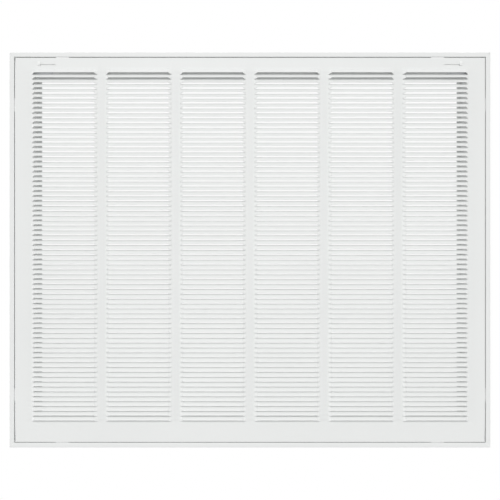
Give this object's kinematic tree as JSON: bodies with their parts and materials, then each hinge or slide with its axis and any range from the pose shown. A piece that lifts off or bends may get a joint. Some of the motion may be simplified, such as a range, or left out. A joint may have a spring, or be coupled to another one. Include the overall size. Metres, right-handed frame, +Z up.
{
  "type": "return air filter grille",
  "caption": "Wall return air grille: mitred steel frame with a filter collar, and a hinged face of lanced louvres held by sliding latches.",
  "frame": {"origin": "middle of the whole object's box, face shut", "axes": "+X right as seen from the front, the louvred face looks along -Y, +Z up the wall"},
  "size_m": [0.835, 0.042, 0.686],
  "materials": {
    "powder_coat": "satin white powder coat on steel sheet, with a fine orange peel",
    "latch_coat": "smooth glossy white paint on steel strip",
    "zinc_plate": "dull bright zinc plating"
  },
  "bodies": {
    "frame": {"frame_rail_top": "powder_coat", "frame_rail_bottom": "powder_coat", "frame_rail_left": "powder_coat", "frame_rail_right": "powder_coat", "corner_plate_top_left": "zinc_plate", "corner_plate_top_right": "zinc_plate", "corner_plate_bottom_left": "zinc_plate", "corner_plate_bottom_right": "zinc_plate", "corner_rivet_top_left_1": "zinc_plate", "corner_rivet_top_left_2": "zinc_plate", "corner_rivet_top_left_3": "zinc_plate", "corner_rivet_top_left_4": "zinc_plate", "corner_rivet_top_right_1": "zinc_plate", "corner_rivet_top_right_2": "zinc_plate", "corner_rivet_top_right_3": "zinc_plate", "corner_rivet_top_right_4": "zinc_plate", "corner_rivet_bottom_left_1": "zinc_plate", "corner_rivet_bottom_left_2": "zinc_plate", "corner_rivet_bottom_left_3": "zinc_plate", "corner_rivet_bottom_left_4": "zinc_plate", "corner_rivet_bottom_right_1": "zinc_plate", "corner_rivet_bottom_right_2": "zinc_plate", "corner_rivet_bottom_right_3": "zinc_plate", "corner_rivet_bottom_right_4": "zinc_plate", "latch_keeper_left": "zinc_plate", "latch_keeper_right": "zinc_plate"},
    "face": {"louvre_face": "powder_coat", "hinge_pin_left": "zinc_plate", "hinge_pin_right": "zinc_plate", "latch_stud_outer_left": "zinc_plate", "latch_stud_inner_left": "zinc_plate", "latch_stud_outer_right": "zinc_plate", "latch_stud_inner_right": "zinc_plate"},
    "left_latch": {"latch_slide_left": "latch_coat"},
    "right_latch": {"latch_slide_right": "latch_coat"}
  },
  "joints": [
    {"name": "face_hinge", "type": "hinge", "parent": "frame", "child": "face", "pos_m": [0, -0.01235, -0.3317], "axis": [1, 0, 0], "range_deg": [0, 95]},
    {"name": "latch_left_slide", "type": "slide", "parent": "face", "child": "left_latch", "axis": [1, 0, 0], "range_m": [0, 0.014]},
    {"name": "latch_right_slide", "type": "slide", "parent": "face", "child": "right_latch", "axis": [-1, 0, 0], "range_m": [0, 0.014]}
  ]
}
